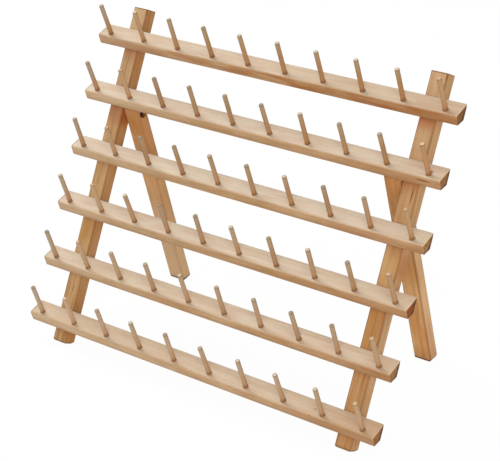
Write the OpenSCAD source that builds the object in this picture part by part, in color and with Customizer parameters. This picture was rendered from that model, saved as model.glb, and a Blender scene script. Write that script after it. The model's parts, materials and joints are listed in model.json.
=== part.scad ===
// Thread rack for sewing spools: six bevelled rails of pegs on two uprights,
// with two back legs that fold out to stand it on a table.
// Rack frame: X along the rails, Y backwards, Z up the uprights; zero is on the
// uprights' front face, at the square-cut bottom end, midway between the rails' ends.

/* [Rails] */
// Number of pegs along each rail
pegs_per_rail = 10; // [4:1:14]
// Distance between neighbouring pegs
peg_pitch = 38.1; // [30:0.1:50]
// Outermost peg to the end of its rail
end_margin = 12.4; // [6:0.1:25]
// Distance between neighbouring rails, along the uprights
rail_pitch = 50.6; // [46:0.1:70]
// Slope of the face that holds the pegs
face_tilt = 45; // [38:1:52]
// Peg axis to the back edge of the sloped face
face_back = 12; // [10.5:0.1:14]
// Peg axis to the front edge of the sloped face
face_front = 4.7; // [3.8:0.1:7]
// Height of the blunted edge above the flat back
blunt_height = 4.9; // [3:0.1:6]
// Space between the sloped face's back edge and the uprights
blunt_space = 0.6; // [0.3:0.1:1.2]
// Height of the flat back that lies on the uprights
back_height = 8.4; // [7.5:0.1:10]
// Height of the front band
front_height = 8.8; // [7.5:0.1:10]
// Lean of the front band away from the uprights
front_lean = 43; // [34:1:48]
// Softening of the rails' long edges
rail_edge = 0.4; // [0.2:0.1:0.8]
// Chamfer round the ends of a rail
rail_end = 0.4; // [0.2:0.1:1]

/* [Pegs] */
// Diameter of a peg
peg_d = 4; // [3:0.1:5.5]
// Length of a peg that stands out of its rail
peg_length = 30; // [20:0.5:45]
// Depth that a peg is set into its rail
peg_seat = 5.5; // [4:0.1:6]
// Chamfer round a peg's tip
peg_chamfer = 0.6; // [0.2:0.1:1]
// Taper of a peg's seated end, off its radius
peg_ease = 0.15; // [0.05:0.05:0.3]
// Radial room for glue round a peg
peg_glue = 0.05; // [0.02:0.01:0.1]

/* [Uprights] */
// Width of an upright, seen from the front
upright_width = 15.4; // [13:0.1:25]
// Depth of an upright, front to back
upright_depth = 12; // [10:0.1:16]
// End of a rail to the outer side of the upright
upright_inset = 23.15; // [12:0.05:40]
// Bottom end of an upright to the peg line of the lowest rail
bottom_reach = 22.2; // [18:0.1:40]
// Peg line of the top rail to the top end of an upright
top_reach = 27.8; // [24:0.1:45]
// Softening of the long edges of uprights and legs
bar_edge = 1.2; // [0.5:0.1:2]
// Rounding of the corners at the top ends of uprights and legs
bar_head = 0.9; // [0.5:0.1:3]
// Rounding of the corners at the feet of uprights and legs
bar_foot = 2.4; // [0.5:0.1:3]
// Depth of the flat worked on the back of each foot
heel_depth = 4.4; // [2:0.1:6]

/* [Stand] */
// Lean of the uprights when the rack stands on a table
lean = 31.5; // [24:0.5:36]
// Angle between a leg and its upright when open
leg_angle = 41; // [38:0.5:50]
// Width of a leg, seen from the front
leg_width = 16.8; // [13:0.1:22]
// Thickness of a leg
leg_depth = 10.6; // [9:0.1:12]
// Space between a leg and its upright
leg_gap = 0.75; // [0.5:0.05:2]
// Pivot below the peg line of the second rail
pivot_drop = 10.4; // [9:0.1:14]
// Clear space behind the rails when a leg is folded flat
fold_space = 1.3; // [0.5:0.1:3]
// Length of a leg above its pivot
leg_head = 14; // [11:0.5:16]
// Space left between a leg's mitred head and the rail that stops it
stop_space = 0.15; // [0.1:0.05:0.4]

/* [Fasteners] */
// Shank diameter of a pivot screw
pivot_d = 4; // [3:0.1:5]
// Head diameter of a pivot screw
pivot_head_d = 6.6; // [6:0.1:7]
// Head height of a pivot screw
pivot_head_h = 2.6; // [1.5:0.1:3.5]
// Depth that a pivot screw reaches into its upright
pivot_bite = 10; // [6:0.5:12]
// Diameter of the sunk hole for a pivot screw's head
sink_d = 8; // [7.4:0.1:8.6]
// Depth of the sunk hole
sink_depth = 5; // [4:0.1:7]
// Radial running clearance of a leg on its screw
pivot_play = 0.06; // [0.03:0.01:0.1]
// Outer diameter of a pivot washer
washer_d = 9; // [7:0.1:10]
// Endways play of a leg against its washer and screw head
end_play = 0.15; // [0.1:0.05:0.3]
// Shank diameter of a rail screw
screw_d = 3; // [2:0.1:3.5]
// Head diameter of a rail screw
screw_head_d = 6; // [5:0.1:7]
// Height of the countersunk part of a rail screw's head
screw_head_h = 1.8; // [1:0.1:2.5]
// Depth that a rail screw reaches into its rail
screw_bite = 5.5; // [4:0.1:6]
// Rail screw below the peg line of its rail
screw_drop = 1.5; // [0:0.1:2.5]
// Radial room round a screw in its hole
screw_room = 0.05; // [0.02:0.01:0.1]

/* [Wall holes] */
// Diameter of the blind hanging hole in the back of each upright
hang_d = 7; // [5:0.1:9]
// Depth of the hanging hole
hang_depth = 6.5; // [4:0.1:7.5]
// Top end of the upright to the centre of the hanging hole
hang_drop = 12; // [8:0.1:16]

/* [Hidden] */
$fn = 48;

// Sides of the rack, and the rails counted from the top
LEFT = -1;
RIGHT = 1;
rail_count = 6;
stop_rail = 2;
// Flats that make up one softened corner
corner_steps = 3;
// Room left at the bottom of a blind hole
hole_end = 0.2;
// Longer than anything that a cut has to pass
beyond = 600;

rail_length = (pegs_per_rail - 1) * peg_pitch + 2 * end_margin;
upright_length = bottom_reach + (rail_count - 1) * rail_pitch + top_reach;
upright_x = rail_length / 2 - upright_inset - upright_width / 2;
leg_x = upright_x - upright_width / 2 - leg_gap - leg_width / 2;

// Height of each rail's peg line, and the peg line's distance in front of the uprights
function row_z(i) = bottom_reach + (rail_count - i) * rail_pitch;
peg_y = -face_back * sin(face_tilt) - blunt_space;
pivot_y = fold_space + leg_depth / 2;
pivot_z = row_z(stop_rail) - pivot_drop;

// Directions in the plane of a rail's section, as [y, z]
peg_way = [-cos(face_tilt), sin(face_tilt)];
face_way = [-sin(face_tilt), -cos(face_tilt)];
band_way = [sin(front_lean), -cos(front_lean)];

// Corners of a rail's section, from the peg line
top_back = -face_back * face_way;
flat_high = top_back + [blunt_space, -blunt_height];
flat_low = flat_high - [0, back_height];
top_front = face_front * face_way;
low_front = top_front + front_height * band_way;
rail_outline = [top_back, flat_high, flat_low, low_front, top_front];

// Where the rack meets the table: the front of the heel, then the leg's foot below its pivot
heel_y = upright_depth - heel_depth;
function table_y(y, z) = y * cos(lean) + z * sin(lean);
function table_z(y, z) = (heel_y - y) * sin(lean) + z * cos(lean);
leg_slant = leg_angle - lean;
leg_reach = table_z(pivot_y, pivot_z) / cos(leg_slant);
foot_slope = leg_depth / 2 * tan(leg_slant);

// Front and back of the standing rack, so that its footprint is centred
peg_rim = peg_length - peg_chamfer;
peg_rim_y = peg_y + peg_rim * peg_way[0];
peg_rim_z = row_z(rail_count) + peg_rim * peg_way[1];
lowest_peg_front = table_y(peg_rim_y, peg_rim_z) - peg_d / 2 * sin(face_tilt + lean);
stand_front = min(lowest_peg_front, table_y(0, 0));
foot_back = table_y(pivot_y, pivot_z) + leg_reach * sin(leg_slant) + leg_depth / cos(leg_slant) / 2;
head_back = table_y(upright_depth - bar_head, upright_length - bar_head) + bar_head;
stand_back = max(head_back, foot_back);
stand_middle = (stand_front + stand_back) / 2;

// One corner of an outline, turned into an arc of short flats
function unit(v) = v / norm(v);
function corner(before, at, after, r) =
    let (
        d1 = unit(before - at),
        d2 = unit(after - at),
        open = acos(d1 * d2),
        turn = 180 - open,
        middle = at + unit(d1 + d2) * r / sin(open / 2),
        first = at + d1 * r / tan(open / 2) - middle,
        last = at + d2 * r / tan(open / 2) - middle
    )
    [for (k = [0 : corner_steps])
        let (a = turn * k / corner_steps)
        middle + (first * sin(turn - a) + last * sin(a)) / sin(turn)];

// The rail's section, softened at every corner but the shallow one above the flat back
function rail_section() = [
    each corner(top_front, top_back, flat_high, rail_edge),
    flat_high,
    each corner(flat_high, flat_low, low_front, rail_edge),
    each corner(flat_low, low_front, top_front, rail_edge),
    each corner(low_front, top_front, top_back, rail_edge)
];

// An oblong that stands on zero, with one softening for its lower corners and one for its upper ones
function softened(w, h, low, high) =
    let (p = [[-w / 2, 0], [w / 2, 0], [w / 2, h], [-w / 2, h]])
    [for (i = [0 : 3]) each corner(p[(i + 3) % 4], p[i], p[(i + 1) % 4], i < 2 ? low : high)];

// Stands the rack on its table, leaning back, with its footprint centred on zero
module standing() {
    translate([0, -stand_middle, heel_y * sin(lean)])
        rotate([-lean, 0, 0])
            children();
}

// Draws the right-hand piece, or mirrors it to the left
module on_side(side) {
    mirror([side == LEFT ? 1 : 0, 0, 0]) children();
}

// Extrudes an outline drawn in y and z along the rails, centred
module along_rails(length) {
    rotate([90, 0, 90])
        translate([0, 0, -length / 2])
            linear_extrude(length) children();
}

// A bar that stands on z = 0, centred in x and y, softened along its edges and round its ends
module bar(width, depth, length) {
    intersection() {
        linear_extrude(length)
            translate([0, -depth / 2]) polygon(softened(width, depth, bar_edge, bar_edge));
        along_rails(width) polygon(softened(depth, length, bar_foot, bar_head));
        translate([0, depth / 2, 0])
            rotate([90, 0, 0])
                linear_extrude(depth) polygon(softened(width, length, bar_foot, bar_head));
    }
}

// Everything under the table's top, which cuts the feet flat
module under_table() {
    translate([0, heel_y, 0])
        rotate([lean, 0, 0])
            translate([-beyond / 2, -beyond / 2, -beyond])
                cube(beyond);
}

// Everything in front of the mitre on the legs' heads
module before_stop() {
    translate([-beyond / 2, stop_space - beyond, 0])
        cube(beyond);
}

// Places a round piece at a rail screw: its zero on the upright's back, its +Z into the rail
module at_rail_screw(i) {
    translate([upright_x, upright_depth, row_z(i) - screw_drop])
        rotate([90, 0, 0])
            children();
}

// Places a round piece at a pivot: its zero on the leg's inner face, its +Z towards the upright
module at_pivot() {
    translate([leg_x - leg_width / 2, pivot_y, pivot_z])
        rotate([0, 90, 0])
            children();
}

// What a rail's faces lose at one end, to a chamfer along each edge there
module end_chamfers(end) {
    sides = len(rail_outline);
    for (k = [0 : sides - 1]) {
        from = rail_outline[k];
        way = rail_outline[(k + 1) % sides] - from;
        translate([end * rail_length / 2, from[0], from[1]])
            rotate([atan2(way[1], way[0]), 0, 0])
                rotate([0, 45 * end, 0])
                    translate([-beyond / 2, -beyond / 2, -rail_end / sqrt(2)])
                        cube(beyond);
    }
}

// Countersunk wood screw with a pointed end; room opens it up into its hole
module rail_screw(room, end) {
    shank_r = screw_d / 2 + room;
    head_r = screw_head_d / 2 + room;
    tip_z = upright_depth + screw_bite + end;
    rotate_extrude()
        polygon([[0, 0], [head_r, 0], [shank_r, screw_head_h], [shank_r, tip_z - screw_d], [0, tip_z]]);
}

// Straight dowel peg, its zero on the rail's face, with an eased seat and a chamfered tip
module peg() {
    r = peg_d / 2;
    rotate_extrude()
        polygon([
            [0, -peg_seat], [r - peg_ease, -peg_seat], [r, 0], [r, peg_length - peg_chamfer],
            [r - peg_chamfer, peg_length], [0, peg_length]
        ]);
}

// Puts a round piece on each peg position of a rail, its +Z along the pegs
module at_pegs(i) {
    for (k = [0 : pegs_per_rail - 1])
        translate([(k - (pegs_per_rail - 1) / 2) * peg_pitch, peg_y, row_z(i)])
            rotate([90 - face_tilt, 0, 0])
                children();
}

module upright(side) {
    color("burlywood")
        standing()
            on_side(side)
                difference() {
                    translate([upright_x, upright_depth / 2, 0])
                        bar(upright_width, upright_depth, upright_length);
                    under_table();
                    for (i = [1 : rail_count])
                        at_rail_screw(i) rail_screw(screw_room, hole_end);
                    at_pivot()
                        cylinder(r = pivot_d / 2 + screw_room, h = leg_width + leg_gap + pivot_bite + hole_end);
                    translate([upright_x, upright_depth, upright_length - hang_drop])
                        rotate([90, 0, 0])
                            cylinder(d = hang_d, h = hang_depth);
                }
}

module rail(i) {
    color("wheat")
        standing()
            difference() {
                translate([0, peg_y, row_z(i)])
                    difference() {
                        along_rails(rail_length) polygon(rail_section());
                        end_chamfers(LEFT);
                        end_chamfers(RIGHT);
                    }
                at_pegs(i)
                    translate([0, 0, -peg_seat - hole_end])
                        cylinder(r = peg_d / 2 + peg_glue, h = 2 * peg_seat);
                for (side = [LEFT, RIGHT])
                    on_side(side)
                        at_rail_screw(i) rail_screw(screw_room, hole_end);
            }
}

module pegs(i) {
    color("tan")
        standing()
            at_pegs(i) peg();
}

module back_leg(side) {
    color("peru")
        standing()
            on_side(side)
                difference() {
                    translate([leg_x, pivot_y, pivot_z])
                        rotate([leg_angle, 0, 0])
                            translate([0, 0, -leg_reach - foot_slope])
                                bar(leg_width, leg_depth, leg_reach + foot_slope + leg_head);
                    under_table();
                    before_stop();
                    at_pivot() {
                        translate([0, 0, -leg_width])
                            cylinder(d = sink_d, h = leg_width + sink_depth);
                        cylinder(r = pivot_d / 2 + pivot_play, h = 2 * leg_width);
                    }
                }
}

// Pan-head screw: the head lies in the leg's sunk hole, the shank turns into the upright
module pivot_screw(side) {
    shank_r = pivot_d / 2;
    head_r = pivot_head_d / 2;
    head_z = sink_depth - end_play;
    crown_z = head_z - pivot_head_h;
    tip_z = leg_width + leg_gap + pivot_bite;
    color("dimgray")
        standing()
            on_side(side)
                at_pivot()
                    rotate_extrude()
                        polygon([
                            [0, crown_z], [head_r / 2, crown_z], [head_r, crown_z + pivot_head_h / 2],
                            [head_r, head_z], [shank_r, head_z], [shank_r, tip_z], [0, tip_z]
                        ]);
}

module pivot_washer(side) {
    hole_r = pivot_d / 2 + screw_room;
    color("silver")
        standing()
            on_side(side)
                at_pivot()
                    translate([0, 0, leg_width + end_play])
                        difference() {
                            cylinder(d = washer_d, h = leg_gap - end_play);
                            translate([0, 0, -leg_gap])
                                cylinder(r = hole_r, h = 3 * leg_gap);
                        }
}

module rail_screws(side) {
    color("darkgray")
        standing()
            on_side(side)
                for (i = [1 : rail_count])
                    at_rail_screw(i) rail_screw(0, 0);
}

upright(LEFT);  // left_upright
upright(RIGHT);  // right_upright
rail(1);  // rail_1
rail(2);  // rail_2
rail(3);  // rail_3
rail(4);  // rail_4
rail(5);  // rail_5
rail(6);  // rail_6
pegs(1);  // pegs_rail_1
pegs(2);  // pegs_rail_2
pegs(3);  // pegs_rail_3
pegs(4);  // pegs_rail_4
pegs(5);  // pegs_rail_5
pegs(6);  // pegs_rail_6
back_leg(LEFT);  // left_back_leg
back_leg(RIGHT);  // right_back_leg
pivot_screw(LEFT);  // left_pivot_screw
pivot_screw(RIGHT);  // right_pivot_screw
pivot_washer(LEFT);  // left_pivot_washer
pivot_washer(RIGHT);  // right_pivot_washer
rail_screws(LEFT);  // left_rail_screws
rail_screws(RIGHT);  // right_rail_screws
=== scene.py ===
import json
import math
import bmesh
import bpy
from mathutils import Euler, Matrix, Quaternion, Vector


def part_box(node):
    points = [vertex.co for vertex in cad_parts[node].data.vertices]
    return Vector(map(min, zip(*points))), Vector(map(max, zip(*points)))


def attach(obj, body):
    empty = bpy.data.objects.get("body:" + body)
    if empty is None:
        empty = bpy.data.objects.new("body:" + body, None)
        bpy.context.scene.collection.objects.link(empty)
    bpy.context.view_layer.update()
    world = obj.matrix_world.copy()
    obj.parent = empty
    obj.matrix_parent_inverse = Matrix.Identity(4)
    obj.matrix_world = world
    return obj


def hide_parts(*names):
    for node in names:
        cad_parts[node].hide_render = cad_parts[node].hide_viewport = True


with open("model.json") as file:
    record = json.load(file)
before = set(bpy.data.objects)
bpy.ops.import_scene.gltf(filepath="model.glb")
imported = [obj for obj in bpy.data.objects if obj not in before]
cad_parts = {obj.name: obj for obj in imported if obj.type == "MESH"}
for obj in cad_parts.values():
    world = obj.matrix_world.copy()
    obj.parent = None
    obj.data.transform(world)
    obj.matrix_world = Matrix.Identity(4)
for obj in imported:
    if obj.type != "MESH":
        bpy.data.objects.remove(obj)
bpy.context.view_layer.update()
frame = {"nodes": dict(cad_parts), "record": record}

# Uprights
# Two straight beech bars that lean back and carry everything else. They are planed square,
# softened along the edges, cut flat under the heel, and drilled behind for hanging on a wall.
SIDES = ("left", "right")
MOUNTS = {mount["name"]: mount for mount in frame["record"]["mounts"]}
MM = 1000  # meshes are in metres, and materials count in millimetres
back_way = Vector(MOUNTS["left_hanging_hole"]["axis"])
lean = math.atan2(-back_way.z, back_way.y)
up_way = Vector((0, math.sin(lean), math.cos(lean)))
along_way = Vector((1, 0, 0))
rim_ease = 0.0003
rim_angle = math.radians(50)
slim_face = 0.0009  # a face that is narrower counts as an arris
end_facing = 0.8  # a face that looks along the fibres by more shows end grain
peg_to_underside = 15.2
underside_to_foot = 17.4
stained_foot = 2.8
peg_levels = [Vector(MOUNTS[f"spool_peg_rail_{i}"]["pos_m"]).dot(up_way) * MM for i in (6, 5)]
rail_pitch = peg_levels[1] - peg_levels[0]
rail_under = peg_levels[0] - peg_to_underside
foot_line = rail_under - underside_to_foot
UPRIGHT_CRACKS = (  # middle, reach across and along the fibres, and depth of colour
    ((156.6, 26.0, 179.5), (0.9, 2.0, 11.0), 0.9),
    ((-153.8, -4.3, 129.9), (0.8, 2.0, 8.0), 0.7),
    ((-152.0, -55.5, 46.3), (0.8, 2.0, 7.0), 0.7),
)


class Wire:
    """One output socket of a node tree; sums on it add Math nodes to that tree."""

    def __init__(self, socket):
        self.socket = socket

    def node(self, kind, settings, sockets, out=0):
        """Adds a node: its settings first, then the values or links of its input sockets."""
        tree = self.socket.id_data
        node = tree.nodes.new(kind)
        for name, value in settings.items():
            setattr(node, name, value)
        for name, value in sockets.items():
            if isinstance(value, Wire):
                tree.links.new(value.socket, node.inputs[name])
            else:
                node.inputs[name].default_value = value
        return Wire(node.outputs[out])

    def math(self, operation, *values):
        return self.node("ShaderNodeMath", {"operation": operation}, dict(enumerate(values)))

    def __add__(self, other):
        return self.math("ADD", self, other)

    def __radd__(self, other):
        return self.math("ADD", other, self)

    def __sub__(self, other):
        return self.math("SUBTRACT", self, other)

    def __rsub__(self, other):
        return self.math("SUBTRACT", other, self)

    def __mul__(self, other):
        return self.math("MULTIPLY", self, other)

    def __rmul__(self, other):
        return self.math("MULTIPLY", other, self)

    def __truediv__(self, other):
        return self.math("DIVIDE", self, other)


def paint(r, g, b):
    """A colour as it is seen on a screen, 0 to 255, turned into light."""
    light = [(c / 255 + 0.055) / 1.055 for c in (r, g, b)]
    return tuple(c ** 2.4 for c in light) + (1.0,)


def vector(wire, operation, other=None):
    """Vector maths; a length or a dot product comes out as a plain number."""
    sockets = {0: wire} if other is None else {0: wire, 1: other}
    out = "Value" if operation in ("LENGTH", "DOT_PRODUCT") else "Vector"
    return wire.node("ShaderNodeVectorMath", {"operation": operation}, sockets, out)


def mixed(share, first, second):
    """Two colours mixed by a share from 0 to 1."""
    return share.node("ShaderNodeMix", {"data_type": "RGBA"}, {0: share, 6: first, 7: second}, out=2)


def ramp(wire, low, high):
    """0 below low, 1 above high, and a smooth rise between them."""
    settings = {"interpolation_type": "SMOOTHSTEP"}
    return wire.node("ShaderNodeMapRange", settings, {"Value": wire, "From Min": low, "From Max": high})


def noise(place, stretch, detail):
    """Cloudy noise from 0 to 1; stretch gives its waves per millimetre on each axis."""
    spread = vector(place, "MULTIPLY", stretch)
    return place.node("ShaderNodeTexNoise", {}, {"Vector": spread, "Scale": 1.0, "Detail": detail})


def mark(place, name, out="Fac"):
    """A value that the mesh holds for each face or point."""
    return place.node("ShaderNodeAttribute", {"attribute_name": name}, {}, out)


def apart(place):
    """The three numbers of a place, each on a wire of its own."""
    split = place.node("ShaderNodeSeparateXYZ", {}, {0: place}).socket.node
    return [Wire(socket) for socket in split.outputs]


def new_surface(name):
    """An empty material with its shader, ready for what varies over the surface."""
    material = bpy.data.materials.new(name)
    material.use_nodes = True
    tree = material.node_tree
    tree.nodes.clear()
    shader = tree.nodes.new("ShaderNodeBsdfPrincipled")
    output = tree.nodes.new("ShaderNodeOutputMaterial")
    tree.links.new(shader.outputs[0], output.inputs["Surface"])
    return material, shader


def own_place(shader):
    """Places on the piece, in millimetres."""
    place = Wire(shader.id_data.nodes.new("ShaderNodeTexCoord").outputs["Object"])
    return vector(place, "MULTIPLY", (MM, MM, MM))


class Wood:
    """Beech: a cloudy ground, growth rings, streaks, fibres and short ray flecks along one axis."""

    pith_off = (70, 45, 0)  # from the middle of the tree to the piece
    ring_pitch = 4.6
    ring_sway = 34  # how far the rings wander
    ring_draw = 0.02  # how far they are drawn out along the trunk
    fleck_rate = (0.85, 0.85, 0.17)  # flecks per millimetre across and along the fibres

    def __init__(self, place, turn, pale, warm, deep, figure):
        """The turn brings the fibres to the third axis; the figure says how strong the streaks are."""
        self.turn = Euler(turn)
        self.place = place.node("ShaderNodeMapping", {}, {"Vector": place, "Rotation": turn})
        self.deep = deep
        self.end = mark(place, "end_grain")
        fibre = self.cloudy(1.3, 0.03, 3.0) - 0.5
        streak = ramp(self.cloudy(0.34, 0.016, 4.0), 0.46, 0.8)
        off_pith = vector(vector(self.place, "ADD", self.pith_off), "MULTIPLY", (1, 1, self.ring_draw))
        run = vector(off_pith, "LENGTH") + self.cloudy(0.04, 0.007, 3.0) * self.ring_sway
        ring = run.math("FRACT", run / self.ring_pitch)
        self.late = ramp(ring, 0.3, 0.88) * (1 - ramp(ring, 0.9, 1.0))
        cells = vector(self.place, "MULTIPLY", self.fleck_rate)
        cells = cells.node("ShaderNodeTexVoronoi", {}, {"Vector": cells, "Scale": 1.0}, out="Distance")
        fleck = 1 - ramp(cells, 0.1, 0.2)
        self.color = mixed(ramp(self.cloudy(0.06, 0.02, 3.0), 0.32, 0.68), pale, warm)
        self.tint(streak * figure + self.late * (figure * 0.25) + fibre * 0.3, deep)
        self.tint(fleck * 0.2, deep)
        self.rough = 0.46 + fibre * 0.2 + fleck * 0.08 + self.end * 0.2
        self.height = fibre * 0.6 + self.late * 0.3 - fleck * 0.5

    def cloudy(self, across, along, detail):
        """Noise with so many waves per millimetre across and along the fibres."""
        return noise(self.place, (across, across, along), detail)

    def tint(self, share, color):
        self.color = mixed(share, self.color, color)

    def near(self, middle, reach):
        """1 in the middle of a spot on the piece, 0 outside its reach across and along the fibres."""
        middle = Vector(middle)
        middle.rotate(self.turn)
        off = vector(vector(self.place, "SUBTRACT", middle), "DIVIDE", reach)
        return 1 - ramp(vector(off, "LENGTH"), 0.3, 1.0)

    def scar(self, middle, reach, share):
        """A dark mark in the wood."""
        self.tint(self.near(middle, reach) * share, self.deep)

    def finish(self, shader, satin, sawn=None):
        """Colours the sawn ends and links all to the shader, under a satin coat that the ends lack."""
        self.tint(self.end * (0.65 + self.late * 0.2), sawn or self.deep)
        bump = {"Height": self.height, "Strength": 0.25, "Distance": 0.0003}
        links = {
            "Base Color": self.color, "Roughness": self.rough,
            "Normal": self.place.node("ShaderNodeBump", {}, bump), "Coat Weight": (1 - self.end) * satin,
        }
        for name, wire in links.items():
            shader.id_data.links.new(wire.socket, shader.inputs[name])
        shader.inputs["Specular IOR Level"].default_value = 0.2
        shader.inputs["Coat Roughness"].default_value = 0.35


def plain_mesh(piece):
    """Turns what the piece's modifiers make into its own plain mesh."""
    graph = bpy.context.evaluated_depsgraph_get()
    shown = piece.evaluated_get(graph)
    made = bpy.data.meshes.new_from_object(shown, preserve_all_data_layers=True, depsgraph=graph)
    piece.modifiers.clear()
    piece.data = made
    return made


def new_piece(name, shape):
    """A piece with a smooth mesh made from what bmesh has built."""
    mesh = bpy.data.meshes.new(name)
    shape.to_mesh(mesh)
    shape.free()
    for polygon in mesh.polygons:
        polygon.use_smooth = True
    piece = bpy.data.objects.new(name, mesh)
    bpy.context.scene.collection.objects.link(piece)
    return piece


def cad_shape(node):
    """A copy of a CAD solid, with its doubled points merged and its flat faces whole."""
    shape = bmesh.new()
    shape.from_mesh(frame["nodes"][node].data)
    bmesh.ops.remove_doubles(shape, verts=shape.verts, dist=1e-6)
    bmesh.ops.dissolve_limit(shape, angle_limit=math.radians(0.5), verts=shape.verts, edges=shape.edges)
    return shape


def planed(shape, name, grain, material):
    """A bar with its sharp rims eased, and marks for end grain, arrises and sides that look right."""
    piece = new_piece(name, shape)
    ease = piece.modifiers.new("eased rims", "BEVEL")
    ease.width = rim_ease
    ease.segments = 2
    ease.limit_method = "ANGLE"
    ease.angle_limit = rim_angle
    piece.modifiers.new("even shading", "WEIGHTED_NORMAL")
    made = plain_mesh(piece)
    marks = {"end_grain": [], "arris": [], "looks_right": []}
    for polygon in made.polygons:
        corners = [made.vertices[k].co for k in polygon.vertices]
        around = sum((a - b).length for a, b in zip(corners, corners[1:] + corners[:1]))
        marks["end_grain"].append(float(abs(polygon.normal.dot(grain)) > end_facing))
        marks["arris"].append(float(2 * polygon.area < slim_face * around))
        marks["looks_right"].append(max(0.0, polygon.normal.x))
    for kind, values in marks.items():
        made.attributes.new(kind, "FLOAT", "FACE").data.foreach_set("value", values)
    made.materials.clear()
    made.materials.append(material)
    return piece


upright_wood, shader = new_surface("upright_wood")
pale, warm, deep = paint(205, 163, 111), paint(190, 139, 81), paint(116, 64, 22)
left_side_shade, right_side_light, nut_brown = paint(164, 90, 4), paint(218, 174, 124), paint(150, 84, 30)
faded, rail_shade, left_bar_shade = paint(200, 170, 136), paint(170, 80, 8), paint(150, 58, 0)
ginger, darkened_foot = paint(170, 86, 4), paint(84, 46, 16)
own = own_place(shader)
across, _, level = apart(own)
on_left = 1 - ramp(across, -1.0, 1.0)
on_right = 1 - on_left
right_face = mark(own, "looks_right")
front_face = 1 - right_face
up_bar = vector(own, "DOT_PRODUCT", up_way)
below_rail = up_bar.math("FRACT", (rail_under - up_bar) / rail_pitch) * rail_pitch
shade = (1 - ramp(below_rail, 4.0, 18.0)) * (0.2 + ramp(level, 140.0, 230.0) * 0.45) * (1 - on_left * 0.4)
grain = Wood(own, (lean, 0, 0), pale, warm, deep, figure=0.45)
# Painted shade on the left bar's right-hand faces and painted light on the right bar's; the right bar's
# front is browner low down, and both fronts fade towards their heads
grain.tint(on_left * right_face * (0.38 - ramp(level, 236.0, 252.0) * 0.16), left_side_shade)
grain.tint(on_right * right_face * 0.15, right_side_light)
grain.tint(on_right * front_face * (0.34 - ramp(level, 20.0, 90.0) * 0.19), nut_brown)
grain.tint(front_face * ramp(level, 110.0, 250.0) * 0.45, faded)
# Dark arrises, a painted warm shade under every rail, a deeper painted shade under the second rail on the
# left bar, a ruddy patch on the right bar, and darkened feet
grain.tint(mark(own, "arris") * (0.5 + ramp(level, 255.0, 262.0) * 0.3), deep)
grain.tint(shade * (1 - right_face * 0.7), rail_shade)
grain.tint(grain.near((-150.0, 27.8, 182.4), (24.0, 24.0, 16.0)) * (0.36 + right_face * 0.26), left_bar_shade)
grain.tint(grain.near((160.7, 2.1, 129.0), (6.0, 10.0, 15.0)) * right_face * 0.55, ginger)
grain.tint((1 - ramp(up_bar, foot_line, foot_line + stained_foot)) * 0.8, darkened_foot)
for crack in UPRIGHT_CRACKS:
    grain.scar(*crack)
grain.finish(shader, satin=0.1)
for side in SIDES:
    upright = planed(cad_shape(f"{side}_upright"), f"{side}_upright_bar", up_way, upright_wood)
    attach(upright, "rack")
    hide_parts(f"{side}_upright")

# Rails
# Six bevelled beech strips across the uprights, each with a wide sloped face for the pegs and a
# narrow front band. They are moulded in one length, sawn off square and drilled square to the face,
# and the rims of their left ends are worn.
RAILS = range(1, 7)
peg_way = Vector(MOUNTS["spool_peg_rail_1"]["axis"])
face_way = Vector((0, -peg_way.z, peg_way.y))
face_slope = math.radians(45)
band_lean = math.radians(43)
band_way = -back_way * math.cos(band_lean) - up_way * math.sin(band_lean)
nose_round = 0.002
end_wear = 0.0017
edge_passes = 5
pegs_low, pegs_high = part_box("pegs_rail_1")
peg_radius = MOUNTS["spool_peg_rail_1"]["dims"]["r_mm"] / MM
peg_wall = MOUNTS["spool_peg_rail_1"]["dims"]["length_mm"] / MM
pegs_per_rail = 10
peg_pitch = (pegs_high.x - pegs_low.x - 2 * peg_radius) / (pegs_per_rail - 1)
# One tone darkens the sloped faces with painted shade, most on the top rail and some on the lowest
TONES = {  # how far each rail, from the top one down, leans to a tone
    "amber": (1.0, 0.2, 0.15, 0.25, 0.15, 0.1), "tan": (1.0, 0.25, 0.05, 0.4, 0.6, 1.0),
    "rusty": (0.3, 0.3, 0.0, 1.0, 0.0, 0.4), "sloped_shade": (1.0, 0.1, 0.0, 0.2, 0.3, 0.6),
}
RAIL_SCARS = (  # middle, reach across and along the fibres, and depth of colour
    ((168.1, 24.3, 195.8), (1.2, 1.2, 10.0), 0.9), ((172.0, 31.4, 201.0), (1.2, 1.2, 3.0), 0.9),
    ((123.4, -82.3, 26.1), (1.0, 1.0, 1.7), 0.8), ((138.7, -82.0, 24.8), (0.9, 0.9, 1.4), 0.5),
    ((165.9, -68.6, 29.9), (0.6, 0.6, 2.2), 0.8), ((124.9, -74.9, 28.3), (0.6, 0.6, 2.2), 0.8),
)


def first_foot(i):
    """Where the axis of a rail's left peg meets the sloped face."""
    return Vector(MOUNTS[f"spool_peg_rail_{i}"]["pos_m"]) - peg_way * peg_wall / 2


def round_edge(shape, first, second, radius):
    """Planes the edge between the outermost faces of two ways round, pass by pass."""
    turn = first.rotation_difference(second)
    lean_in = first.dot(second)
    out, ahead = [max(vertex.co.dot(way) for vertex in shape.verts) - radius for way in (first, second)]
    share = (ahead - lean_in * out) / (1 - lean_in * lean_in)
    middle = first * (out - lean_in * share) + second * share
    for k in range(1, edge_passes + 1):
        way = first.copy()
        way.rotate(Quaternion().slerp(turn, k / (edge_passes + 1)))
        parts = shape.verts[:] + shape.edges[:] + shape.faces[:]
        plane = {"plane_co": middle + way * radius, "plane_no": way}
        cut = bmesh.ops.bisect_plane(shape, geom=parts, clear_outer=True, **plane)
        rim = [part for part in cut["geom_cut"] if isinstance(part, bmesh.types.BMEdge)]
        bmesh.ops.contextual_create(shape, geom=rim)
    bmesh.ops.recalc_face_normals(shape, faces=shape.faces)


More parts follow.
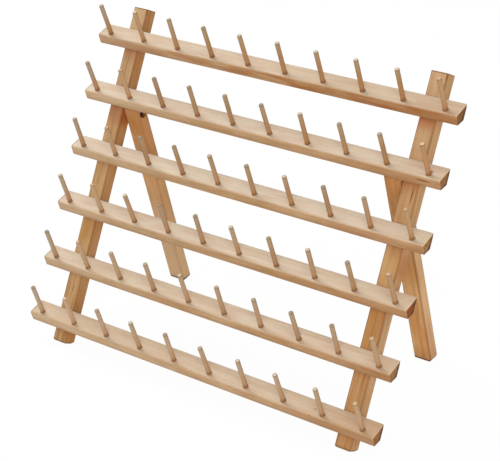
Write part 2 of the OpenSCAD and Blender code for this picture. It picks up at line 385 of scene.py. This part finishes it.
def wear_end(shape, way, wear):
    """Rounds the rim of a strip's end, in slices that draw in towards the middle of the end."""
    end = max(shape.faces, key=lambda face: face.calc_center_median().dot(way))
    middle = end.calc_center_median_weighted()
    reach = max((vertex.co - middle).length for vertex in end.verts)
    for k in range(edge_passes):
        share = math.sin(math.pi / 2 * k / edge_passes)
        parts = shape.verts[:] + shape.edges[:] + shape.faces[:]
        bmesh.ops.bisect_plane(shape, geom=parts, plane_co=middle - way * wear * (1 - share), plane_no=way)
    for vertex in shape.verts:
        off = vertex.co - middle
        share = 1 + off.dot(way) / wear
        if share > 0:
            across = off - way * off.dot(way)
            vertex.co -= across / reach * wear * (1 - math.sqrt(max(0.0, 1 - share * share)))


rail_wood, shader = new_surface("rail_wood")
pale, warm, deep = paint(206, 171, 129), paint(191, 151, 105), paint(118, 64, 22)
beige, blush, tanned = paint(213, 202, 181), paint(207, 188, 167), paint(200, 164, 122)
sloped_shade_grey, back_grey, dark_line = paint(140, 124, 106), paint(188, 178, 162), paint(176, 134, 92)
light_line, amber_band, olive = paint(222, 208, 188), paint(162, 98, 38), paint(146, 108, 62)
cream, russet, toast = paint(214, 188, 154), paint(152, 86, 34), paint(172, 122, 72)
underside_shade, glue_and_foot_shade, gold = paint(140, 90, 46), paint(104, 58, 28), paint(160, 100, 40)
rim_highlight, worn_rim, sawn_base = paint(236, 200, 160), paint(140, 120, 84), paint(146, 88, 24)
sawn_tan, sawn_rust, sawn_dark = paint(169, 131, 82), paint(158, 62, 0), paint(76, 52, 26)
sawn_speck, sawn_rim = paint(78, 44, 14), paint(40, 26, 12)
grain = Wood(own_place(shader), (0, -math.pi / 2, 0), pale, warm, deep, figure=0.25)
amber, tan, rusty, sloped_shade = (mark(grain.place, tone) for tone in TONES)
arris = mark(grain.place, "arris")
along, down, over = apart(mark(grain.place, "on_face", "Vector"))
steps = along / (peg_pitch * MM)
from_peg = (steps - steps.math("ROUND", steps)) * (peg_pitch * MM)
round_peg = from_peg.math("SQRT", from_peg * from_peg + down * down)
top = ramp(over, -1.5, -0.1)
front = 1 - top
# The sloped face: a pale beige painted sheen with a blush, easing off towards the nose, tan on some rails
# and darkened by painted shade on others, grey at the back, fine lines
face_sheen_color = mixed(ramp(grain.cloudy(0.12, 0.04, 3.0), 0.35, 0.65), beige, blush)
face_sheen_color = mixed(tan * 0.4, face_sheen_color, tanned)
grain.tint(top * (0.74 - ramp(down, 1.5, 4.7) * 0.25), face_sheen_color)
grain.tint(top * sloped_shade * 0.13, sloped_shade_grey)
grain.tint(top * (1 - ramp(down, -12.0, -9.0)) * 0.3, back_grey)
lines = grain.cloudy(0.55, 0.022, 4.0)
grain.tint(top * ramp(lines, 0.52, 0.72) * 0.27, dark_line)
grain.tint(top * (1 - ramp(lines, 0.3, 0.48)) * 0.27, light_line)
# The front band: amber patches and olive clouds, pale at the left and russet at the right
grain.tint(amber * front * (0.2 + ramp(grain.cloudy(0.2, 0.03, 3.0), 0.35, 0.65) * 0.7), amber_band)
grain.tint(front * ramp(grain.cloudy(0.3, 0.06, 2.0), 0.48, 0.68) * 0.25, olive)
grain.tint(front * (1 - ramp(along, 0.0, 190.0)) * 0.3, cream)
grain.tint(front * ramp(along, 170.0, 352.0) * (0.28 + amber * 0.15), russet)
# Toasted right ends, painted shade darkening the band towards its lower edge and the undersides, dark lower
# arrises, a ring round each peg of glue and painted contact shade
grain.tint(top * ramp(along, 280.0, 352.0) * (0.12 + tan * 0.12), toast)
grain.tint((1 - ramp(over, -9.2, -4.0)) * 0.3, underside_shade)
grain.tint(top * (1 - ramp(round_peg, 2.0, 3.2)) * 0.55, glue_and_foot_shade)
grain.tint(arris * (1 - ramp(over, -6.0, -4.0)) * 0.5, deep)
# The lowest rail has a golden right end with fine cracks; two rails have scars
grain.tint(grain.near((172.0, -78.0, 25.0), (30.0, 30.0, 62.0)) * 0.24, gold)
for scar in RAIL_SCARS:
    grain.scar(*scar)
cracks = ramp(grain.cloudy(1.1, 0.09, 2.0), 0.57, 0.64)
grain.tint(cracks * grain.near((151.0, -69.0, 29.6), (8.0, 8.0, 13.0)) * 0.55, deep)
# The ends: a painted highlight on the right rim, a worn left one, and sawn wood with specks and a dark edge
grain.tint(arris * top * ramp(along, 353.0, 355.0) * 0.5, rim_highlight)
grain.tint((1 - ramp(along, -11.6, -9.4)) * 0.5, worn_rim)
grain.tint(grain.end * 0.75, sawn_base)
sawn = mixed(rusty, sawn_tan, sawn_rust)
sawn = mixed(amber * 0.5, sawn, sawn_dark)
sawn = mixed(ramp(grain.cloudy(0.5, 0.05, 2.0), 0.42, 0.62) * 0.45, sawn, sawn_speck)
to_back = (down + over) * -math.sin(face_slope)
sawn_edge = ramp(to_back, 4.8, 7.0) + (1 - ramp(over, -8.6, -6.6))
grain.finish(shader, satin=0.2, sawn=mixed(sawn_edge * 0.8, sawn, sawn_rim))
for i in RAILS:
    foot = first_foot(i)
    shape = cad_shape(f"rail_{i}")
    round_edge(shape, peg_way, band_way, nose_round)
    wear_end(shape, -along_way, end_wear)
    rail = planed(shape, f"rail_{i}_strip", along_way, rail_wood)
    spots = []
    for vertex in rail.data.vertices:
        off = (vertex.co - foot) * MM
        spots += [off.x, off.dot(face_way), off.dot(peg_way)]
    rail.data.attributes.new("on_face", "FLOAT_VECTOR", "POINT").data.foreach_set("vector", spots)
    for tone, values in TONES.items():
        shares = [values[i - 1]] * len(rail.data.polygons)
        rail.data.attributes.new(tone, "FLOAT", "FACE").data.foreach_set("value", shares)
    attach(rail, "rack")
    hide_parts(f"rail_{i}")

# Pegs
# Sixty straight beech dowels, ten to a rail, each glued into its bore square to the sloped face.
# Every one is turned to a softened tip, and stands a touch out of true. Those of the second and the
# tenth column look fresher, and those of the first are greyed.
peg_seat = 0.0055
peg_taper = 0.00015
peg_sides = 24
tip_round = 0.0006
tip_steps = 6
peg_stray = math.radians(0.9)
peg_turn = math.atan2(-peg_way.y, peg_way.z)
peg_seed = 20
lot_seed = 50  # added to a row's own seed, for the tone of each piece in it


def turned(profile, sides):
    """A piece turned on a lathe about the third axis, from its radius and height at each step."""
    shape = bmesh.new()
    rings = []
    for radius, height in profile:
        if radius == 0:
            rings.append([shape.verts.new((0, 0, height))])
            continue
        turns = [math.tau * k / sides for k in range(sides)]
        rings.append([shape.verts.new((radius * math.cos(t), radius * math.sin(t), height)) for t in turns])
    for low, high in zip(rings, rings[1:]):
        for k in range(sides):
            n = (k + 1) % sides
            loop = [low[k % len(low)], low[n % len(low)], high[n % len(high)], high[k % len(high)]]
            shape.faces.new(list(dict.fromkeys(loop)))
    bmesh.ops.recalc_face_normals(shape, faces=shape.faces)
    return shape


def kept(geometry, name, value, kind, domain):
    """Keeps a value with each point or each repeated piece, for the material to read."""
    settings = {"data_type": kind, "domain": domain}
    sockets = {"Geometry": geometry, "Name": name, "Value": value}
    return geometry.node("GeometryNodeStoreNamedAttribute", settings, sockets)


def row_tree(name):
    """Geometry nodes that repeat a turned piece along a straight row, each a little out of true."""
    tree = bpy.data.node_groups.new(name, "GeometryNodeTree")
    wants = {
        "Geometry": "NodeSocketGeometry", "Count": "NodeSocketInt", "Start": "NodeSocketVector",
        "Step": "NodeSocketVector", "Turn": "NodeSocketFloat", "Stray": "NodeSocketFloat",
        "Seed": "NodeSocketInt", "Material": "NodeSocketMaterial",
    }
    for want, kind in wants.items():
        tree.interface.new_socket(want, in_out="INPUT", socket_type=kind)
    tree.interface.new_socket("Geometry", in_out="OUTPUT", socket_type="NodeSocketGeometry")
    given = tree.nodes.new("NodeGroupInput")
    take = {want: Wire(given.outputs[want]) for want in wants}
    one = take["Geometry"]
    where = one.node("GeometryNodeInputPosition", {}, {})
    one = kept(one, "own_place", where, "FLOAT_VECTOR", "POINT")
    line = {"Count": take["Count"], "Start Location": take["Start"], "Offset": take["Step"]}
    points = one.node("GeometryNodeMeshLine", {"mode": "OFFSET"}, line)
    swing = {0: (-1, -1, -math.pi), 1: (1, 1, math.pi), 8: take["Seed"]}
    swing = one.node("FunctionNodeRandomValue", {"data_type": "FLOAT_VECTOR"}, swing)
    tip_x, tip_y, spin = apart(swing)
    tilt = {"X": take["Turn"] + tip_x * take["Stray"], "Y": tip_y * take["Stray"]}
    tilt, roll = (
        one.node("FunctionNodeEulerToRotation", {}, {0: one.node("ShaderNodeCombineXYZ", {}, angles)})
        for angles in (tilt, {"Z": spin})
    )
    stand = {"Rotation": tilt, "Rotate By": roll}
    stand = one.node("FunctionNodeRotateRotation", {"rotation_space": "LOCAL"}, stand)
    row = {"Points": points, "Instance": one, "Rotation": stand}
    row = one.node("GeometryNodeInstanceOnPoints", {}, row)
    lot = {2: 0.0, 3: 1.0, 8: take["Seed"] + lot_seed}
    lot = one.node("FunctionNodeRandomValue", {"data_type": "FLOAT"}, lot, out=1)
    row = kept(row, "own_lot", lot, "FLOAT", "INSTANCE")
    row = row.node("GeometryNodeRealizeInstances", {}, {"Geometry": row})
    row = row.node("GeometryNodeSetMaterial", {}, {"Geometry": row, "Material": take["Material"]})
    tree.links.new(row.socket, tree.nodes.new("NodeGroupOutput").inputs[0])
    return tree


def in_row(piece, tree, values):
    """Repeats the piece with the tree, and keeps the result as its plain mesh."""
    repeat = piece.modifiers.new("row", "NODES")
    repeat.node_group = tree
    for item in tree.interface.items_tree:
        if item.in_out == "INPUT" and item.name in values:
            repeat[item.identifier] = values[item.name]
    plain_mesh(piece)


peg_wood, shader = new_surface("peg_wood")
pale, warm, deep = paint(186, 150, 110), paint(170, 128, 84), paint(110, 64, 30)
copper, drab, fresh_pale = paint(178, 122, 74), paint(136, 104, 72), paint(222, 182, 136)
fresh_warm, smoky, sandy = paint(200, 140, 84), paint(124, 86, 48), paint(196, 174, 144)
cocoa, foot_bounce_light, foot_glue_shade = paint(146, 104, 64), paint(174, 118, 66), paint(126, 72, 30)
tip_surround_light, greyed, tip_ring = paint(170, 152, 124), paint(166, 160, 142), paint(112, 84, 56)
cap_dark, cap_light, cap_fresh = paint(146, 124, 98), paint(212, 194, 170), paint(232, 190, 142)
place = own_place(shader)
across, _, level = apart(place)
own = vector(mark(place, "own_place", "Vector"), "MULTIPLY", (MM, MM, MM))
lot = mark(own, "own_lot")
elsewhere = own.node("ShaderNodeCombineXYZ", {}, {"X": lot * 900, "Y": lot * 370, "Z": lot * 610})
up_peg = apart(own)[2]
grain = Wood(vector(own, "ADD", elsewhere), (0, 0, 0), pale, warm, deep, figure=0.35)
# Each dowel has its own tone, and so have the columns and the height on the rack
grain.tint(ramp(lot, 0.5, 1.0) * 0.45, copper)
grain.tint((1 - ramp(lot, 0.0, 0.35)) * 0.35, drab)
column = (across / MM - pegs_low.x - peg_radius) / peg_pitch
first = 1 - ramp(column, 0.4, 0.6)
second = ramp(column, 0.4, 0.6) * (1 - ramp(column, 1.4, 1.6))
tenth = ramp(column, 8.4, 8.6)
fresh = second + tenth
grain.tint(second * 0.3, fresh_pale)
grain.tint(tenth * 0.2, fresh_warm)
grain.tint((1 - tenth) * ramp(column, 3.0, 8.0) * 0.14, smoky)
low_down = 1 - ramp(level, 40.0, 230.0)
grain.tint(low_down * 0.35, sandy)
grain.tint((1 - low_down) * 0.16, cocoa)
# From foot to tip: a painted warm bounce from the rail, and dark glue with painted contact shade at the
# foot, a painted pale grey cast from the white surround towards the tip, a ring below the cap
grain.tint((1 - ramp(up_peg, 2.0, 17.0)) * 0.35, foot_bounce_light)
grain.tint((1 - ramp(up_peg, 0.0, 5.0)) * 0.65, foot_glue_shade)
grain.tint(ramp(up_peg, 14.0, 29.0) * (0.45 - fresh * 0.3), tip_surround_light)
grain.tint(first * ramp(up_peg, 6.0, 20.0) * 0.35, greyed)
grain.tint(ramp(up_peg, 28.2, 29.3) * 0.4, tip_ring)
cap = mixed(fresh * 0.45, mixed(ramp(lot, 0.1, 0.9), cap_dark, cap_light), cap_fresh)
grain.tint(ramp(up_peg, 29.7, 29.95) * 0.85, cap)
grain.finish(shader, satin=0.1)

peg_profile = [(0, -peg_seat), (peg_radius - peg_taper, -peg_seat)]
peg_profile += [(peg_radius, 0), (peg_radius, peg_wall / 2)]
for k in range(tip_steps + 1):
    turn = math.pi / 2 * k / tip_steps
    tip = (peg_radius - tip_round * (1 - math.cos(turn)), peg_wall + tip_round * math.sin(turn))
    peg_profile.append(tip)
peg_profile.append((0, peg_wall + tip_round))
peg_row = row_tree("peg_row")
for i in RAILS:
    pegs = new_piece(f"rail_{i}_pegs", turned(peg_profile, peg_sides))
    row = {"Count": pegs_per_rail, "Start": first_foot(i), "Step": (peg_pitch, 0, 0), "Turn": peg_turn}
    in_row(pegs, peg_row, row | {"Stray": peg_stray, "Seed": peg_seed + i, "Material": peg_wood})
    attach(pegs, "rack")
    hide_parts(f"pegs_rail_{i}")

# Back legs
# Two bars of the same stock on the inner sides of the uprights. Each is drilled and sunk for its
# pivot screw, its head is mitred to stop against the back of the second rail, and its foot is worn
# round behind and outside, more so on the right leg.
OUTWARDS = {"left": -1, "right": 1}
FOOT_WEAR = {"left": 0.0015, "right": 0.0055}
leg_slant = math.radians(9.5)
leg_way = Vector((0, -math.sin(leg_slant), math.cos(leg_slant)))
leg_back = Vector((0, math.cos(leg_slant), math.sin(leg_slant)))
down_way = Vector((0, 0, -1))

leg_wood, shader = new_surface("leg_wood")
pale, warm, deep = paint(228, 178, 118), paint(212, 152, 86), paint(118, 62, 18)
leg_shade, leg_cream, leg_side_light = paint(156, 88, 34), paint(214, 182, 144), paint(214, 182, 142)
low_brown, darkened_foot = paint(140, 78, 30), paint(70, 38, 14)
own = own_place(shader)
across, _, level = apart(own)
on_left = 1 - ramp(across, -1.0, 1.0)
on_right = 1 - on_left
right_face = mark(own, "looks_right")
head = ramp(level, 140.0, 178.0)
grain = Wood(own, (-leg_slant, 0, 0), pale, warm, deep, figure=0.36)
# Painted brown shade on the heads, where the rack shades them, and on the left leg's right-hand face, and
# painted light on the right leg's right-hand face; the left leg pales towards its foot, the right one
# darkens
grain.tint(head * 0.5 + ramp(level, 178.0, 205.0) * 0.2, leg_shade)
grain.tint(on_left * right_face * ramp(level, 84.0, 140.0) * (1 - head) * 0.4, leg_shade)
grain.tint(on_left * (1 - ramp(level, 40.0, 140.0)) * (0.62 - right_face * 0.14), leg_cream)
grain.tint(on_right * right_face * 0.27, leg_side_light)
grain.tint(on_right * (1 - ramp(level, 2.0, 22.0)) * 0.3, low_brown)
grain.tint((1 - ramp(level, 0.8, 3.0)) * 0.9, darkened_foot)
grain.tint(mark(own, "arris") * (0.5 - on_left * 0.28), deep)
grain.finish(shader, satin=0.1)
for side, way in OUTWARDS.items():
    shape = cad_shape(f"{side}_back_leg")
    round_edge(shape, leg_back, down_way, FOOT_WEAR[side])
    round_edge(shape, along_way * way, down_way, FOOT_WEAR[side] / 2)
    leg = planed(shape, f"{side}_leg_bar", leg_way, leg_wood)
    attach(leg, f"{side}_leg")
    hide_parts(f"{side}_back_leg")

# Pivot washers
# A thin stamped washer of plated steel on each pivot, which keeps the leg off its upright.
# Stamping leaves its outer rim rounded on one side.
washer_bore = 0.00205
washer_round = 0.00015
pivot_sides = 40

bright_steel, shader = new_surface("bright_steel")
place = own_place(shader)
scuff = noise(place, (1.1, 0.3, 0.3), 4.0)
cloud = noise(place, (0.25, 0.25, 0.25), 2.0)
sheen = mixed(ramp(cloud, 0.3, 0.7), paint(206, 204, 198), paint(182, 180, 176))
for name, wire in (("Base Color", sheen), ("Roughness", 0.28 + scuff * 0.25)):
    shader.id_data.links.new(wire.socket, shader.inputs[name])
shader.inputs["Metallic"].default_value = 1.0


def on_pivot(piece, node, way):
    """Sets a turned piece on its pivot: zero at the node's inner side, its axis towards the upright."""
    low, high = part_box(node)
    middle = (low + high) / 2
    inner = low.x if way > 0 else high.x
    turn = Matrix.Rotation(way * math.pi / 2, 4, "Y")
    piece.data.transform(Matrix.Translation((inner, middle.y, middle.z)) @ turn)


def shade_evenly(piece):
    """Lets the flat faces rule the shading, and keeps the result as the piece's plain mesh."""
    piece.modifiers.new("even shading", "WEIGHTED_NORMAL")
    plain_mesh(piece)


for side, way in OUTWARDS.items():
    node = f"{side}_pivot_washer"
    low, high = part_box(node)
    thick, outer = high.x - low.x, (high.z - low.z) / 2
    profile = [(washer_bore, 0), (outer, 0), (outer, thick - washer_round), (outer - washer_round, thick)]
    profile += [(washer_bore, thick), (washer_bore, 0)]
    shape = turned(profile, pivot_sides)
    bmesh.ops.remove_doubles(shape, verts=shape.verts, dist=1e-7)
    bmesh.ops.recalc_face_normals(shape, faces=shape.faces)
    washer = new_piece(f"{side}_washer", shape)
    shade_evenly(washer)
    on_pivot(washer, node, way)
    washer.data.materials.append(bright_steel)
    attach(washer, "rack")
    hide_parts(node)

# Pivot screws
# One pan-head screw of blackened steel through each leg into its upright, with its head down in
# the leg's sunk hole and a cross recess for the driver.
head_radius = 0.0033
head_height = 0.0026
head_ease = 0.0002
crown_flat = 0.45  # share of the head's radius
crown_height = 0.55  # share of the head's height
crown_sag = 0.00005
crown_steps = 5
shank_radius = 0.002
point_length = 0.0008
point_taper = 0.0007
cross_reach, cross_width, cross_depth = 0.0018, 0.0008, 0.0014
cross_bottom = (0.35, 0.6)  # how much of its reach and width a recess keeps at its bottom

dark_steel, shader = new_surface("dark_steel")
place = own_place(shader)
wear = noise(place, (0.9, 0.9, 0.9), 4.0)
color = mixed(ramp(wear, 0.45, 0.75), paint(46, 43, 40), paint(78, 72, 66))
for name, wire in (("Base Color", color), ("Roughness", 0.38 + wear * 0.25)):
    shader.id_data.links.new(wire.socket, shader.inputs[name])
shader.inputs["Metallic"].default_value = 0.85


def cross_cut(piece, reach, width, depth):
    """Sinks a cross recess into a screw's head, narrowing towards its bottom."""
    shape = bmesh.new()
    for turn in (0, math.pi / 2):
        bar = bmesh.ops.create_cube(shape, size=2.0)["verts"]
        bmesh.ops.scale(shape, vec=(reach, width / 2, depth), verts=bar)
        for vertex in bar:
            if vertex.co.z > 0:
                vertex.co.x *= cross_bottom[0]
                vertex.co.y *= cross_bottom[1]
        bmesh.ops.rotate(shape, cent=(0, 0, 0), matrix=Matrix.Rotation(turn, 3, "Z"), verts=bar)
    tool = new_piece("cross_tool", shape)
    cut = piece.modifiers.new("cross recess", "BOOLEAN")
    cut.operation = "DIFFERENCE"
    cut.solver = "EXACT"
    cut.use_self = True
    cut.object = tool
    plain_mesh(piece)
    bpy.data.objects.remove(tool)


crown = [(0, 0), (head_radius * crown_flat, crown_sag)]
for k in range(1, crown_steps + 1):
    turn = math.pi / 2 * k / crown_steps
    radius = head_radius * (crown_flat + (1 - crown_flat) * math.sin(turn))
    crown.append((radius, head_height * crown_height * (1 - math.cos(turn))))
for side, way in OUTWARDS.items():
    node = f"{side}_pivot_screw"
    low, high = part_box(node)
    reach = high.x - low.x
    profile = crown + [(head_radius, head_height - head_ease), (head_radius - head_ease, head_height)]
    profile += [(shank_radius, head_height), (shank_radius, reach - point_length)]
    profile += [(shank_radius - point_taper, reach), (0, reach)]
    screw = new_piece(f"{side}_pivot_pin", turned(profile, pivot_sides))
    cross_cut(screw, cross_reach, cross_width, cross_depth)
    shade_evenly(screw)
    on_pivot(screw, node, way)
    screw.data.materials.append(dark_steel)
    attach(screw, "rack")
    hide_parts(node)

# Rail screws
# Six countersunk screws of plated steel up the back of each upright, one into every rail.
# Their heads lie flush with the wood.
sink_radius = 0.003
sink_height = 0.0018
sink_sides = 24
sink_rim = 0.0006
sink_ease = 0.0002
sink_dish = 0.0001
sink_middle = 0.00012
thread_radius = 0.0015
screw_reach = 0.0175
screw_drop = 0.0015
face_behind_pegs = 0.012
blunt_space = 0.0006
upright_depth = 0.012
behind_pegs = face_behind_pegs * math.sin(face_slope) + blunt_space + upright_depth
sink_cross_reach, sink_cross_width, sink_cross_depth = 0.0017, 0.0007, 0.0013
SCREW_SEEDS = {"left": 7, "right": 8}

sink_profile = [(0, sink_middle), (sink_radius - sink_rim, sink_dish), (sink_radius - sink_ease, 0)]
sink_profile += [(sink_radius, sink_ease), (thread_radius, sink_height)]
sink_profile += [(thread_radius, screw_reach - 2 * thread_radius), (0, screw_reach)]
heads = [first_foot(i) + back_way * behind_pegs - up_way * screw_drop for i in (6, 5)]
screw_step = Vector((0, heads[1].y - heads[0].y, heads[1].z - heads[0].z))
screw_row = row_tree("screw_row")
for side in SIDES:
    node = f"{side}_rail_screws"
    low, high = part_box(node)
    screws = new_piece(f"{side}_screws", turned(sink_profile, sink_sides))
    cross_cut(screws, sink_cross_reach, sink_cross_width, sink_cross_depth)
    start = Vector(((low.x + high.x) / 2, heads[0].y, heads[0].z))
    row = {"Count": len(RAILS), "Start": start, "Step": screw_step, "Turn": math.pi / 2 - lean}
    in_row(screws, screw_row, row | {"Stray": 0.0, "Seed": SCREW_SEEDS[side], "Material": bright_steel})
    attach(screws, "rack")
    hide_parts(node)

# Floor and surround
# A plain white table top that runs out of sight into a white surround, as in a studio sweep.
# Both look white to the eye, and the table keeps the rack's soft shadow.
floor_reach = 6.0
shadow_share = 0.06
surround_light = 0.45
white = (1, 1, 1, 1)
matt_white = (0.72, 0.72, 0.72, 1)
table_glow = 1.02

floor_mesh = bpy.data.meshes.new("floor")
corners = [(-floor_reach, -floor_reach, 0), (floor_reach, -floor_reach, 0)]
corners += [(floor_reach, floor_reach, 0), (-floor_reach, floor_reach, 0)]
floor_mesh.from_pydata(corners, [], [(0, 1, 2, 3)])
floor = bpy.data.objects.new("floor", floor_mesh)
bpy.context.scene.collection.objects.link(floor)


def seen(tree):
    """1 where the eye looks straight, in a mirror or through glass, and 0 for light on its way."""
    path = tree.nodes.new("ShaderNodeLightPath")
    looks = [Wire(path.outputs[f"Is {kind} Ray"]) for kind in ("Camera", "Glossy", "Transmission")]
    return looks[0].math("MINIMUM", looks[0] + looks[1] + looks[2], 1.0)


white_top = bpy.data.materials.new("white_table")
white_top.use_nodes = True
tree = white_top.node_tree
tree.nodes.clear()
look = seen(tree)
matt = look.node("ShaderNodeBsdfDiffuse", {}, {"Color": matt_white})
glow = look.node("ShaderNodeEmission", {}, {"Color": white, "Strength": table_glow})
surface = look.node("ShaderNodeMixShader", {}, {0: look * (1 - shadow_share), 1: matt, 2: glow})
output = tree.nodes.new("ShaderNodeOutputMaterial")
tree.links.new(surface.socket, output.inputs["Surface"])
floor_mesh.materials.append(white_top)

world = bpy.data.worlds.new("white_surround")
bpy.context.scene.world = world
world.use_nodes = True
tree = world.node_tree
tree.nodes.clear()
look = seen(tree)
level = look * (1 - surround_light) + surround_light
light = look.node("ShaderNodeBackground", {}, {"Color": white, "Strength": level})
output = tree.nodes.new("ShaderNodeOutputWorld")
tree.links.new(light.socket, output.inputs["Surface"])

# Lamps
# A broad soft box above on the left, whose sheen lies on the rails' sloped faces,
# and a wide fill from the front and right.
lamp_aim = Vector((0, 0, 0.13))
lamp_distance = 1.7


def soft_box(name, way, size, power):
    """A square lamp that looks at the middle of the rack from the given way."""
    lamp = bpy.data.lights.new(name, "AREA")
    lamp.shape = "SQUARE"
    lamp.size = size
    lamp.energy = power
    holder = bpy.data.objects.new(name, lamp)
    way = Vector(way).normalized()
    holder.location = lamp_aim + way * lamp_distance
    holder.rotation_euler = way.to_track_quat("Z", "Y").to_euler()
    bpy.context.scene.collection.objects.link(holder)


soft_box("upper_left_box", way=(-0.55, 0.14, 0.80), size=0.9, power=15.0)
soft_box("front_right_box", way=(0.6, -0.68, 0.42), size=1.3, power=18.2)

# Camera
# It stands to the right of the rack and above it, tipped a little clockwise.
# Its place and angles were fitted to the rails' ends and the pegs.
camera_place = Vector((0.78689, -0.90734, 0.77922))
camera_azimuth = math.radians(40.508)
camera_elevation = math.radians(28.858)
camera_roll = math.radians(-5.697)
focal_pixels = 1646.3
picture_width = 500

camera = bpy.data.cameras.new("camera")
camera.sensor_width = 36
camera.lens = camera.sensor_width * focal_pixels / picture_width
stand = bpy.data.objects.new("camera", camera)
turn = Matrix.Rotation(camera_azimuth, 4, "Z") @ Matrix.Rotation(math.pi / 2 - camera_elevation, 4, "X")
turn = turn @ Matrix.Rotation(camera_roll, 4, "Z")
stand.matrix_world = Matrix.Translation(camera_place) @ turn
bpy.context.scene.collection.objects.link(stand)
bpy.context.scene.camera = stand
bpy.context.scene.view_settings.view_transform = "Standard"
